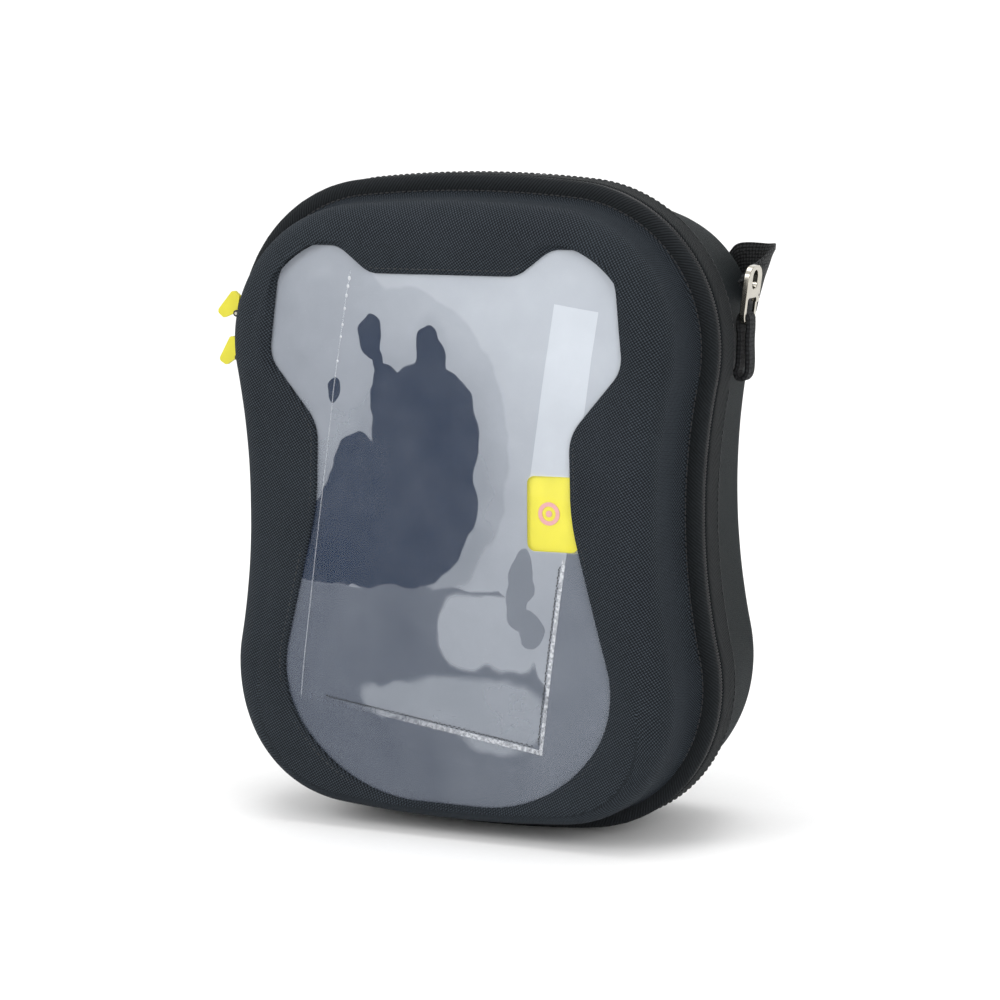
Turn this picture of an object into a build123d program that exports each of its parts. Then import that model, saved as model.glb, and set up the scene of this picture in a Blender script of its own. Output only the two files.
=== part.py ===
from build123d import *
from math import asin, atan2, cos, degrees, radians, sin
import os

# A moulded two-shell zip case with an hourglass outline. It stands on its bottom edge.
# X is right, -Y is the window side, Z is up. The origin is at the middle of the bottom
# edge, in the plane where the two shells meet.

# ---- driving dimensions, mm ----
case_height = 325.0
case_half_width = 131.0
waist_half_width = 122.3
upper_corner_radius = 79.5
lower_corner_radius = 76.0
edge_rise = 2.6                 # crown of the top and bottom edges, from corner to middle

rim_gap = 1.5                   # parting plane to the binding of either shell
front_depth = 42.5              # parting plane to the deepest point of the front face
crown_radius = 2080.0           # the front face curves along its height
crown_z = 125.0                 # height of its deepest point
shoulder_round = 9.5
wall_inset = 11.0               # flange width round the front shell
shell_thickness = 3.4
lining_thickness = 0.8

rear_depth = 79.0
rear_round = 18.0
rear_half_width = 120.5
rear_waist_half_width = 112.0
rear_upper_corner_radius = 50.0
rear_lower_corner_radius = 76.5
rear_low = 4.5
rear_high = 303.0

binding_width = 7.5             # of the front binding, across the flange
binding_skin = 1.0
rear_step = 3.0                 # the rear wall stands back this far from the rim
front_flange_back = 4.4
rear_binding_depth = 18.0

zip_coil_inset = 0.5
zip_coil_width = 3.0
zip_tape_width = 10.0
zip_tape_thickness = 0.6
zip_end_half = 78.0             # the zip stops this far from the middle of the bottom edge
zip_end_z = 40.0
end_stop_length = 4.0

film_thickness = 0.6
film_margin = 8.0
pocket_size = (135.0, 216.0)
pocket_tilt = -8.1
pocket_centre = (0.8, 162.7)
fit_gap = 0.05

slider_length = 12.0
slider_half_width = 5.0
pin_radius = 0.8

os.makedirs("parts", exist_ok=True)


# ---- the hourglass outline: eight tangent arcs ----
def outline_numbers(low, high, half, waist, top, bottom):
    """Centres, radii and angles of the arcs of an outline from z = low to z = high, with
    half widths at its corners and its waist and the radii of its top and bottom corners."""
    top_x = half - top
    top_z = high - top - edge_rise
    bottom_x = half - bottom
    bottom_z = low + bottom + edge_rise
    bay = half - waist
    drop = top_z - bottom_z
    reach = (drop + 2 * bay * (top - bottom) / drop) / 2
    side = (reach**2 / bay + bay) / 2 - top
    top_crown = (top_x**2 + (top + edge_rise) ** 2 - top**2) / (2 * edge_rise)
    bottom_crown = (bottom_x**2 + (bottom + edge_rise) ** 2 - bottom**2) / (2 * edge_rise)
    return {
        "top": (top_x, top_z),
        "bottom": (bottom_x, bottom_z),
        "side": (waist + side, top_z - reach),
        "side_radius": side,
        "top_crown": top_crown,
        "bottom_crown": bottom_crown,
        "top_angle": degrees(atan2(top_crown - top - edge_rise, top_x)),
        "bottom_angle": degrees(atan2(bottom_crown - bottom - edge_rise, bottom_x)),
        "upper_bay": degrees(atan2(reach, waist + side - top_x)),
        "lower_bay": degrees(atan2(drop - reach, waist + side - bottom_x)),
    }


def draw_outline(shape, inset=0.0):
    """The closed outline, drawn 'inset' inside itself as a face of the current sketch."""
    low, high, _, _, top, bottom = shape
    n = outline_numbers(*shape)
    top_x, top_z = n["top"]
    bottom_x, bottom_z = n["bottom"]
    side_x, side_z = n["side"]
    side = n["side_radius"] + inset
    top_sweep = n["top_angle"] + n["upper_bay"]
    bottom_sweep = n["bottom_angle"] + n["lower_bay"]
    bay_sweep = n["upper_bay"] + n["lower_bay"]
    top_crown_sweep = 180 - 2 * n["top_angle"]
    bottom_crown_sweep = 180 - 2 * n["bottom_angle"]
    top_centre = (0, high - n["top_crown"])
    bottom_centre = (0, low + n["bottom_crown"])
    with BuildLine() as path:
        CenterArc((top_x, top_z), top - inset, -n["upper_bay"], top_sweep)
        CenterArc(top_centre, n["top_crown"] - inset, n["top_angle"], top_crown_sweep)
        CenterArc((-top_x, top_z), top - inset, 180 - n["top_angle"], top_sweep)
        CenterArc((-side_x, side_z), side, -n["lower_bay"], bay_sweep)
        CenterArc((-bottom_x, bottom_z), bottom - inset, 180 - n["lower_bay"], bottom_sweep)
        CenterArc(bottom_centre, n["bottom_crown"] - inset, 180 + n["bottom_angle"], bottom_crown_sweep)
        CenterArc((bottom_x, bottom_z), bottom - inset, -n["bottom_angle"], bottom_sweep)
        CenterArc((side_x, side_z), side, 180 - n["upper_bay"], bay_sweep)
    make_face(path.edges())


rim = (0.0, case_height, case_half_width, waist_half_width, upper_corner_radius, lower_corner_radius)
rear_back = (rear_low, rear_high, rear_half_width, rear_waist_half_width,
             rear_upper_corner_radius, rear_lower_corner_radius)
rim_numbers = outline_numbers(*rim)


def plane_at(y):
    """A sketch plane facing the front, with local x = X and local y = Z."""
    return Plane.XZ.offset(-y)


def ring(outer, inner, y_front, y_rear):
    """A solid ring between two insets of the rim outline and two Y positions."""
    with BuildPart() as made:
        with BuildSketch(plane_at(y_rear)):
            draw_outline(rim, outer)
        extrude(amount=y_rear - y_front)
        with BuildSketch(plane_at(y_rear)):
            draw_outline(rim, inner)
        extrude(amount=y_rear - y_front, mode=Mode.SUBTRACT)
    return made.part


# ---- curved front face ----
def crown_cylinder(depth, mode):
    """A cylinder along X whose surface lies 'depth' behind the crowned front face."""
    with Locations((0, crown_radius - front_depth, crown_z)):
        Cylinder(crown_radius - depth, 3 * case_half_width, rotation=(0, 90, 0), mode=mode)


def lid_block(skin):
    """The domed body of the front shell, 'skin' inside its outer surface."""
    with BuildPart() as made:
        with BuildSketch(plane_at(-rim_gap)):
            draw_outline(rim, wall_inset + skin)
        extrude(amount=front_depth + 10)
        crown_cylinder(skin, Mode.INTERSECT)
        fillet(made.faces().sort_by(Axis.Y)[0].edges(), shoulder_round - skin)
    return made.part


def rear_bowl(skin):
    """The body of the rear shell, 'skin' inside its outer surface."""
    rim_inset = rear_step + skin if skin else binding_skin + 0.2
    with BuildPart() as made:
        with BuildSketch(plane_at(rim_gap)):
            draw_outline(rim, rim_inset)
        extrude(amount=rim_gap - rear_binding_depth)
        with BuildSketch(plane_at(rear_binding_depth)):
            draw_outline(rim, rear_step + skin)
        with BuildSketch(plane_at(rear_depth - skin)):
            draw_outline(rear_back, skin)
        loft()
        fillet(made.faces().sort_by(Axis.Y)[-1].edges(), rear_round - skin)
    return made.part


lid_outer = lid_block(0.0)
lid_inner = lid_block(shell_thickness)
lid_skin = lid_block(shell_thickness + fit_gap)
lid_lined = lid_block(shell_thickness + fit_gap + lining_thickness)
rear_outer = rear_bowl(0.0)
rear_inner = rear_bowl(shell_thickness)
rear_skin = rear_bowl(shell_thickness + fit_gap)
rear_lined = rear_bowl(shell_thickness + fit_gap + lining_thickness)


# ---- the window outline: two ears, a waist and a round belly ----
window_corners = [
    ((40.0, 277.8), 14.0),
    ((57.4, 291.0), 14.0),
    ((89.4, 291.0), 23.0),
    ((95.4, 235.2), 16.0),
    ((68.2, 203.0), 22.0),
    ((69.2, 162.0), 110.0),
    ((94.2, 66.0), 52.0),
    ((51.5, 16.8), 76.0),
]


def draw_window(grow=0.0):
    """The window opening as a face of the current sketch, grown by 'grow'."""
    right = [point for point, radius in window_corners]
    left = [(-x, z) for x, z in reversed(right)]
    radii = [radius for point, radius in window_corners]
    with BuildLine() as path:
        FilletPolyline(*right, *left, radius=radii + radii[::-1], close=True)
    make_face(path.edges())
    if grow:
        offset(amount=grow, kind=Kind.ARC)


window_span = 60.0


def cut_window(grow):
    with BuildSketch(plane_at(-10.0)) as opening:
        draw_window(grow)
    extrude(opening.sketch, amount=window_span, mode=Mode.SUBTRACT)


def crowned_layer(near, far):
    """Trim the current part to the layer between two depths behind the front face."""
    crown_cylinder(near, Mode.INTERSECT)
    crown_cylinder(far, Mode.SUBTRACT)


# ---- front shell and what it carries ----
with BuildPart() as front_shell:
    add(lid_outer)
    with BuildSketch(plane_at(-rim_gap)):
        draw_outline(rim, binding_skin)
    extrude(amount=front_flange_back - rim_gap)
    add(lid_inner, mode=Mode.SUBTRACT)
    cut_window(0.0)
front_shell.part.label = "front_shell"
export_step(front_shell.part, "parts/front_shell.step")

with BuildPart() as front_lining:
    add(lid_skin)
    add(lid_lined, mode=Mode.SUBTRACT)
    cut_window(film_margin + 2.0)
front_lining.part.label = "front_lining"
export_step(front_lining.part, "parts/front_lining.step")

with BuildPart() as front_binding:
    add(ring(0.0, binding_width, -front_flange_back - binding_skin, -rim_gap))
    fillet(front_binding.faces().sort_by(Axis.Y)[0].outer_wire().edges(), 1.4)
    add(ring(binding_skin, binding_width + 1, -front_flange_back, -rim_gap), mode=Mode.SUBTRACT)
front_binding.part.label = "front_binding"
export_step(front_binding.part, "parts/front_binding.step")

film_near = shell_thickness + fit_gap
with BuildPart() as window_film:
    with BuildSketch(plane_at(-10.0)):
        draw_window(film_margin)
    extrude(amount=window_span)
    crowned_layer(film_near, film_near + film_thickness)
    add(lid_skin, mode=Mode.INTERSECT)
window_film.part.label = "window_film"
export_step(window_film.part, "parts/window_film.step")

tab_width = 28.0
tab_height = 37.6
tab_centre = (59.5, 165.0)
mark_centre = (57.1, 165.0)
mark_radius = 5.6
mark_near = film_near + film_thickness + fit_gap
mark_thickness = 0.25
tab_near = mark_near + mark_thickness + fit_gap
tab_thickness = 0.8
with BuildPart() as tab_mark:
    with BuildSketch(plane_at(-10.0)):
        with Locations(mark_centre):
            Circle(mark_radius)
            Circle(mark_radius - 2.0, mode=Mode.SUBTRACT)
            Circle(1.6)
    extrude(amount=window_span)
    crowned_layer(mark_near, mark_near + mark_thickness)
tab_mark.part.label = "tab_mark"
export_step(tab_mark.part, "parts/tab_mark.step")

with BuildPart() as window_tab:
    with BuildSketch(plane_at(-10.0)):
        with Locations(tab_centre):
            RectangleRounded(tab_width, tab_height, 3.0)
    extrude(amount=window_span)
    crowned_layer(tab_near, tab_near + tab_thickness)
window_tab.part.label = "window_tab"
export_step(window_tab.part, "parts/window_tab.step")

pocket_near = tab_near + tab_thickness + 0.2
pocket_thickness = 1.2
with BuildPart() as document_pocket:
    with BuildSketch(plane_at(-10.0)):
        with Locations(Location((*pocket_centre, 0), (0, 0, pocket_tilt))):
            RectangleRounded(*pocket_size, 2.0)
    extrude(amount=window_span)
    crowned_layer(pocket_near, pocket_near + pocket_thickness)
document_pocket.part.label = "document_pocket"
export_step(document_pocket.part, "parts/document_pocket.step")

# a bound edge along the open top of the pocket
with BuildPart() as pocket_edge:
    with BuildSketch(plane_at(-10.0)):
        with Locations(Location((*pocket_centre, 0), (0, 0, pocket_tilt))):
            with Locations((0, pocket_size[1] / 2 - 3.0)):
                Rectangle(pocket_size[0] - 4.0, 6.0)
    extrude(amount=window_span)
    crowned_layer(pocket_near + pocket_thickness + fit_gap, pocket_near + pocket_thickness + 0.85)
pocket_edge.part.label = "pocket_edge"
export_step(pocket_edge.part, "parts/pocket_edge.step")


# ---- rear shell ----
with BuildPart() as rear_shell:
    add(rear_outer)
    add(rear_inner, mode=Mode.SUBTRACT)
rear_shell.part.label = "rear_shell"
export_step(rear_shell.part, "parts/rear_shell.step")

with BuildPart() as rear_lining:
    add(rear_skin)
    add(rear_lined, mode=Mode.SUBTRACT)
rear_lining.part.label = "rear_lining"
export_step(rear_lining.part, "parts/rear_lining.step")

with BuildPart() as rear_binding:
    add(ring(0.0, binding_skin + 0.15, rim_gap, rear_binding_depth))
    fillet(rear_binding.faces().sort_by(Axis.Y)[-1].outer_wire().edges(), 0.8)
rear_binding.part.label = "rear_binding"
export_step(rear_binding.part, "parts/rear_binding.step")


# ---- zip: tapes, coil halves, end stops and the cloth hinge at the bottom ----
def zip_run(name, inset, width, y_front, y_rear):
    """One strip of the zip, open across the bottom edge."""
    with BuildPart() as strip:
        add(ring(inset, inset + width, y_front, y_rear))
        Box(2 * zip_end_half, 20, 2 * zip_end_z, mode=Mode.SUBTRACT)
    strip.part.label = name
    export_step(strip.part, "parts/" + name + ".step")
    return strip.part


coil_gap = 0.08
tape_inset = zip_coil_inset + zip_coil_width + fit_gap
tape_face = rim_gap - fit_gap
zip_run("zip_coil_front", zip_coil_inset, zip_coil_width, -tape_face, -coil_gap)
zip_run("zip_coil_rear", zip_coil_inset, zip_coil_width, coil_gap, tape_face)
zip_run("zip_tape_front", tape_inset, zip_tape_width, -tape_face, -tape_face + zip_tape_thickness)
zip_run("zip_tape_rear", tape_inset, zip_tape_width, tape_face - zip_tape_thickness, tape_face)

stop_reach = zip_end_half - 0.3
with BuildPart() as zip_end_stops:
    add(ring(zip_coil_inset, zip_coil_inset + zip_coil_width, 0.2, tape_face))
    Box(2 * stop_reach, 20, 2 * zip_end_z, mode=Mode.INTERSECT)
    Box(2 * (stop_reach - end_stop_length), 20, 2 * zip_end_z, mode=Mode.SUBTRACT)
zip_end_stops.part.label = "zip_end_stops"
export_step(zip_end_stops.part, "parts/zip_end_stops.step")

hinge_half = 62.0
hinge_thickness = 1.0
with BuildPart() as hinge_strip:
    add(ring(zip_coil_inset, zip_coil_inset + hinge_thickness, -tape_face, tape_face))
    Box(2 * hinge_half, 20, 30, mode=Mode.INTERSECT)
hinge_strip.part.label = "hinge_strip"
export_step(hinge_strip.part, "parts/hinge_strip.step")


# ---- zip sliders, their pins and finger tabs, on the left edge ----
def make_slider(name, centre, path_radius, outward, rest_angle, tab_angle):
    """A slider that follows a circle. outward is +1 where the case lies inside the circle
    and -1 where it lies outside it. rest_angle places it on the circle, tab_angle points
    its finger tab."""
    near = path_radius + outward * 0.5
    far = path_radius + outward * 1.8
    span = degrees(slider_length / path_radius)
    pin_radius_out = path_radius + outward * 3.8
    pin_x = centre[0] + pin_radius_out * cos(radians(rest_angle))
    pin_z = centre[1] + pin_radius_out * sin(radians(rest_angle))
    face_angle = rest_angle if outward > 0 else rest_angle + 180
    with BuildPart() as slider:
        with BuildSketch(plane_at(slider_half_width)):
            with BuildLine():
                low_arc = CenterArc(centre, min(near, far), rest_angle - span / 2, span)
                high_arc = CenterArc(centre, max(near, far), rest_angle - span / 2, span)
                Line(low_arc @ 0, high_arc @ 0)
                Line(low_arc @ 1, high_arc @ 1)
            make_face()
        extrude(amount=2 * slider_half_width)
        # two lugs that carry the pin
        for lug_y in (-2.7, 1.5):
            with BuildSketch(plane_at(lug_y + 1.2)):
                with Locations(Location((pin_x, pin_z, 0), (0, 0, face_angle))):
                    with Locations((-1.2, 0)):
                        Rectangle(3.2, 3.4)
                    Circle(1.7)
            extrude(amount=1.2)
        with Locations(Plane.XZ):
            with Locations((pin_x, pin_z, 0)):
                Cylinder(pin_radius + 0.02, 12, mode=Mode.SUBTRACT)
    slider.part.label = name
    export_step(slider.part, "parts/" + name + ".step")

    with BuildPart() as pin:
        with BuildSketch(plane_at(3.0)):
            with Locations((pin_x, pin_z)):
                Circle(pin_radius)
        extrude(amount=6.0)
    pin.part.label = name + "_pin"
    export_step(pin.part, "parts/" + name + "_pin.step")

    with BuildPart() as finger_tab:
        tab_run = (cos(radians(tab_angle)), 0, sin(radians(tab_angle)))
        with BuildSketch(Plane(origin=(pin_x, 1.1, pin_z), x_dir=tab_run, z_dir=(0, -1, 0))):
            with BuildLine():
                FilletPolyline(
                    (-1.6, -1.6), (1.6, -1.6), (4.6, -7.5), (9.8, -7.5),
                    (9.8, 7.5), (4.6, 7.5), (1.6, 1.6), (-1.6, 1.6),
                    radius=[1.5, 0.6, 1.5, 2.0, 2.0, 1.5, 0.6, 1.5], close=True)
            make_face()
            Circle(pin_radius + 0.1, mode=Mode.SUBTRACT)
        extrude(amount=2.2)
    finger_tab.part.label = name + "_tab"
    export_step(finger_tab.part, "parts/" + name + "_tab.step")
    print(name, "pin", round(pin_x, 3), round(pin_z, 3), "centre", centre, "path", path_radius)


upper_rest_angle = 173.2
lower_slider_z = 231.0
corner_x, corner_z = rim_numbers["top"]
bay_x, bay_z = rim_numbers["side"]
bay_radius = rim_numbers["side_radius"]
lower_rest_angle = degrees(asin((lower_slider_z - bay_z) / bay_radius))
make_slider("slider_upper", (-corner_x, corner_z), upper_corner_radius, 1, upper_rest_angle, 139.0)
make_slider("slider_lower", (-bay_x, bay_z), bay_radius, -1, lower_rest_angle, 150.0)


# ---- side tabs, snap hooks and the shoulder strap ----
hook_y = 30.0
hook_x = 132.3
hook_low_z = 253.5              # the bar that the webbing tab goes round
hook_lean = 8.0
hook_thickness = 3.0
bar_radius = 1.7
lean_x = sin(radians(hook_lean))
lean_z = cos(radians(hook_lean))
hook_plane = Plane(origin=(hook_x, hook_y, hook_low_z), x_dir=(0, 1, 0), z_dir=(lean_z, 0, -lean_x))


def finish_pair(part, name):
    """Write a right-hand piece and its mirror image on the left."""
    part.label = name + "_right"
    export_step(part, "parts/" + name + "_right.step")
    twin = mirror(part, about=Plane.YZ)
    twin.label = name + "_left"
    export_step(twin, "parts/" + name + "_left.step")


tab_front, tab_back = 24.0, 33.0
with BuildPart() as side_tab:
    with BuildSketch(plane_at(tab_back)):
        with BuildLine():
            FilletPolyline((127.0, 225.0), (135.7, 225.0), (135.7, 258.8), (128.6, 258.8), (127.0, 248.4),
                           radius=[2.0, 3.0, 3.4, 3.4, 3.0], close=True)
        make_face()
        with BuildLine():
            Polyline((123.4, 228.5), (127.8, 228.5), (127.8, 245.5), (123.4, 245.5), close=True)
        make_face()
        with Locations((hook_x, hook_low_z)):
            SlotCenterToCenter(2.2, 2 * bar_radius + 1.2, rotation=90, mode=Mode.SUBTRACT)
        with Locations((133.5, 238.4)):
            Rectangle(1.4, 11.0, mode=Mode.SUBTRACT)
    extrude(amount=tab_back - tab_front)
    add(rear_outer, mode=Mode.SUBTRACT)
finish_pair(side_tab.part, "side_tab")

gate_u = 7.1
gate_pivot = (gate_u, 12.6)
with BuildPart() as hook:
    with BuildSketch(hook_plane):
        with Locations((0, 12.9)):
            RectangleRounded(17.0, 29.0, 6.4)
        with Locations((-0.5, 6.6)):
            RectangleRounded(11.6, 9.8, 1.2, mode=Mode.SUBTRACT)
        with Locations((0, 20.6)):
            RectangleRounded(7.0, 9.0, 3.2, mode=Mode.SUBTRACT)
        with Locations((gate_u, 5.5)):
            Rectangle(4.0, 7.4, mode=Mode.SUBTRACT)
    extrude(amount=hook_thickness / 2, both=True)
    hook_faces = hook.faces().sort_by(Axis(hook_plane.origin, hook_plane.z_dir))
    chamfer(hook_faces[-1].edges() + hook_faces[0].edges(), 0.35)
    with BuildSketch(hook_plane):
        with Locations((gate_u, 12.3)):
            Rectangle(4.4, 6.4)
    extrude(amount=0.9, both=True, mode=Mode.SUBTRACT)
    with BuildSketch(hook_plane):
        with Locations(gate_pivot):
            Circle(0.7)
    extrude(amount=hook_thickness, both=True, mode=Mode.SUBTRACT)
finish_pair(hook.part, "hook")

with BuildPart() as hook_gate:
    with BuildSketch(hook_plane):
        with BuildLine():
            FilletPolyline(
                (gate_u - 1.2, 2.1), (gate_u + 1.2, 2.1), (gate_u + 1.2, 13.9), (gate_u - 1.2, 13.9),
                radius=[0.8, 0.8, 1.1, 1.1], close=True)
        make_face()
        with Locations(gate_pivot):
            Circle(0.8, mode=Mode.SUBTRACT)
    extrude(amount=0.6, both=True)
finish_pair(hook_gate.part, "hook_gate")

with BuildPart() as gate_pin:
    with BuildSketch(hook_plane):
        with Locations(gate_pivot):
            Circle(0.69)
    extrude(amount=hook_thickness / 2, both=True)
finish_pair(gate_pin.part, "gate_pin")

strap_thickness = 1.8
# centre, direction along the strap, direction across it, width
strap_stations = [
    ((128.4, 31.0, 265.2), (0, 0.5, 0.87), (0, 0.87, -0.5), 12.0),
    ((128.6, 40.0, 272.2), (0.1, 0.8, 0.5), (0, 0.6, -0.8), 20.0),
    ((130.4, 57.0, 273.2), (0, 1.0, 0), (0, 0.1, -1.0), 32.0),
    ((126.0, 73.0, 270.2), (-0.6, 0.8, 0), (0, 0, -1.0), 36.0),
    ((109.0, 86.0, 265.2), (-0.85, 0.4, -0.35), (0.3, 0, -0.95), 38.0),
    ((86.0, 91.0, 238.0), (-0.6, 0, -0.8), (0.8, 0, -0.6), 38.0),
    ((64.5, 92.0, 178.0), (-0.34, 0, -0.94), (0.94, 0, -0.34), 38.0),
    ((41.0, 92.0, 127.0), (-0.64, 0, -0.77), (0.77, 0, -0.64), 38.0),
]
strap_low = ((0.0, 92.0, 106.0), (-1.0, 0, 0), (0, 0, -1.0), 38.0)


def strap_section(station):
    """A flat section of the webbing, square to its run."""
    place, along, across, width = station
    with BuildSketch(Plane(origin=place, x_dir=across, z_dir=along)) as section:
        Rectangle(width, strap_thickness)
    return section.sketch


with BuildPart() as strap_half:
    loft([strap_section(station) for station in strap_stations + [strap_low]], ruled=True)
with BuildPart() as shoulder_strap:
    add(strap_half.part)
    mirror(strap_half.part, about=Plane.YZ)
shoulder_strap.part.label = "shoulder_strap"
export_step(shoulder_strap.part, "parts/shoulder_strap.step")

# a three-bar slide on the straight stretch of the strap
adjuster_from = Vector(*strap_stations[5][0])
adjuster_to = Vector(*strap_stations[6][0])
adjuster_run = (adjuster_to - adjuster_from).normalized()
adjuster_place = (adjuster_from + adjuster_to) * 0.5 + Vector(0, strap_thickness / 2 + 1.9, 0)
adjuster_plane = Plane(origin=adjuster_place, x_dir=(-adjuster_run.Z, 0, adjuster_run.X), z_dir=(0, 1, 0))
with BuildPart() as strap_adjuster:
    with BuildSketch(adjuster_plane):
        RectangleRounded(48.0, 26.0, 4.0)
        with Locations((0, 6.2), (0, -6.2)):
            RectangleRounded(40.0, 6.6, 2.0, mode=Mode.SUBTRACT)
    extrude(amount=1.5, both=True)
strap_adjuster.part.label = "strap_adjuster"
export_step(strap_adjuster.part, "parts/strap_adjuster.step")

print("rim", rim_numbers, "lower slider angle", lower_rest_angle)
print("gate pivot", hook_plane.from_local_coords((*gate_pivot, 0)), "adjuster", adjuster_run)
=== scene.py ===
"""The looks of a moulded two-shell zip case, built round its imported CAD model.

X is right, -Y is the window side, Z is up. Shapes are worked out in millimetres and turned
into metres where a mesh is made.
"""
import math

import bmesh
import bpy
import numpy as np
from mathutils import Matrix, Vector


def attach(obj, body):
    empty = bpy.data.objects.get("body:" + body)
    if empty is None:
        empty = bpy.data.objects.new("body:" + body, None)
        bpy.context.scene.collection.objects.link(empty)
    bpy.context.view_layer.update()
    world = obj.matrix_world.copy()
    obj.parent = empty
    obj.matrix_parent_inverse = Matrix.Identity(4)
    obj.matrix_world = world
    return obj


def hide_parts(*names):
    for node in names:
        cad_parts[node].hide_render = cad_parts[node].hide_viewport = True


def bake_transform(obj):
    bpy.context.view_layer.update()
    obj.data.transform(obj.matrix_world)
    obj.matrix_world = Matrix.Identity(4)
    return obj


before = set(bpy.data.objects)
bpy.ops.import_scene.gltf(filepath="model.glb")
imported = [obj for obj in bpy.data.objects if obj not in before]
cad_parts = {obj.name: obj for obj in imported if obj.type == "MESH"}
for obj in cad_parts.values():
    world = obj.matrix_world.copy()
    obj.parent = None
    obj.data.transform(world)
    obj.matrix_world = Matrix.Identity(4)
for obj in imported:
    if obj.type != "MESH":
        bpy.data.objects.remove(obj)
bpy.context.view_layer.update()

MM = 0.001

# ---- the case's driving dimensions, mm, as in the CAD source ----
EDGE_RISE = 2.6
RIM = (0.0, 325.0, 131.0, 122.3, 79.5, 76.0)
REAR_BACK = (4.5, 303.0, 120.5, 112.0, 50.0, 76.5)
FRONT_DEPTH = 42.5
CROWN_RADIUS = 2080.0
CROWN_Z = 125.0
REAR_DEPTH = 79.0
REAR_ROUND = 18.0
REAR_STEP = 3.0
REAR_BINDING_DEPTH = 18.0
SKIN = 3.3
FLANGE = 6.0
WINDOW_CORNERS = [
    ((40.0, 277.8), 14.0),
    ((57.4, 291.0), 14.0),
    ((89.4, 291.0), 23.0),
    ((95.4, 235.2), 16.0),
    ((68.2, 203.0), 22.0),
    ((69.2, 162.0), 110.0),
    ((94.2, 66.0), 52.0),
    ((51.5, 16.8), 76.0),
]
POCKET_SIZE = (135.0, 216.0)
POCKET_TILT = math.radians(-8.1)
POCKET_CENTRE = np.array([0.8, 162.7])
TAB_CENTRE = (59.5, 165.0)
TAB_SIZE = (28.0, 37.6)
TAB_Y = (24.0, 33.0)
ZIP_END_HALF = 78.0
ZIP_END_Z = 40.0
HINGE_HALF = 62.0
BACK_MIDDLE = np.array([0.0, 160.0])
WALL_INSET = 11.0
INNER_ROUND = 6.2
FILM_MARGIN = 6.5
FILM_SUNK = 3.55

# ---- camera ----
CAMERA_AZIMUTH = math.radians(25.97)
CAMERA_HEIGHT = math.radians(8.6)
CAMERA_ROLL = math.radians(-0.79)
CAMERA_DISTANCE = 1.58
CAMERA_TARGET = Vector((0.01273, 0.0, 0.16399))
CAMERA_LENS = 114.9


def add_object(name, data):
    """Puts a new object with this data into the scene."""
    made = bpy.data.objects.new(name, data)
    bpy.context.scene.collection.objects.link(made)
    return made


def make_camera():
    """The camera at the viewing angle, a long lens about a metre and a half away."""
    data = bpy.data.cameras.new("camera")
    data.lens = CAMERA_LENS
    data.sensor_width = 36.0
    camera = add_object("camera", data)
    flat = math.cos(CAMERA_HEIGHT)
    back = Vector((math.sin(CAMERA_AZIMUTH) * flat, -math.cos(CAMERA_AZIMUTH) * flat,
                   math.sin(CAMERA_HEIGHT)))
    right = (-back).cross(Vector((0, 0, 1))).normalized()
    up = right.cross(-back)
    turned_right = math.cos(CAMERA_ROLL) * right + math.sin(CAMERA_ROLL) * up
    turned_up = math.cos(CAMERA_ROLL) * up - math.sin(CAMERA_ROLL) * right
    camera.matrix_world = Matrix.Translation(CAMERA_TARGET + back * CAMERA_DISTANCE) @ Matrix(
        (turned_right, turned_up, back)).transposed().to_4x4()
    bpy.context.scene.camera = camera


make_camera()
bpy.context.scene.view_settings.view_transform = "Standard"


# ---- outlines ----
def outline_numbers(shape):
    """Centres, radii and angles of the eight tangent arcs of an hourglass outline."""
    low, high, half, waist, top, bottom = shape
    top_x, top_z = half - top, high - top - EDGE_RISE
    bottom_x, bottom_z = half - bottom, low + bottom + EDGE_RISE
    bay, drop = half - waist, high - top - EDGE_RISE - bottom_z
    reach = (drop + 2 * bay * (top - bottom) / drop) / 2
    side = (reach**2 / bay + bay) / 2 - top
    top_crown = (top_x**2 + (top + EDGE_RISE) ** 2 - top**2) / (2 * EDGE_RISE)
    bottom_crown = (bottom_x**2 + (bottom + EDGE_RISE) ** 2 - bottom**2) / (2 * EDGE_RISE)
    top_angle = math.atan2(top_crown - top - EDGE_RISE, top_x)
    bottom_angle = math.atan2(bottom_crown - bottom - EDGE_RISE, bottom_x)
    upper = math.atan2(reach, waist + side - top_x)
    lower = math.atan2(drop - reach, waist + side - bottom_x)
    # centre, radius, first and last angle, and +1 where the case lies inside the arc's circle
    return [
        ((top_x, top_z), top, -upper, top_angle, 1),
        ((0, high - top_crown), top_crown, top_angle, math.pi - top_angle, 1),
        ((-top_x, top_z), top, math.pi - top_angle, math.pi + upper, 1),
        ((-waist - side, top_z - reach), side, upper, -lower, -1),
        ((-bottom_x, bottom_z), bottom, math.pi - lower, math.pi + bottom_angle, 1),
        ((0, low + bottom_crown), bottom_crown, math.pi + bottom_angle, 2 * math.pi - bottom_angle, 1),
        ((bottom_x, bottom_z), bottom, -bottom_angle, lower, 1),
        ((waist + side, top_z - reach), side, math.pi + lower, math.pi - upper, -1),
    ]


ARC_COUNTS = (44, 36, 44, 52, 44, 36, 44, 52)
AROUND = sum(ARC_COUNTS)


def outline(shape, inset=0.0):
    """Points (x, z) round the outline, drawn 'inset' inside itself, and their outward normals."""
    points, normals = [], []
    for (centre, radius, first, last, inside), count in zip(outline_numbers(shape), ARC_COUNTS):
        angle = first + (last - first) * np.arange(count) / count
        ray = np.stack([np.cos(angle), np.sin(angle)], 1)
        points.append(np.array(centre) + (radius - inside * inset) * ray)
        normals.append(inside * ray)
    return np.concatenate(points), np.concatenate(normals)


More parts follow.
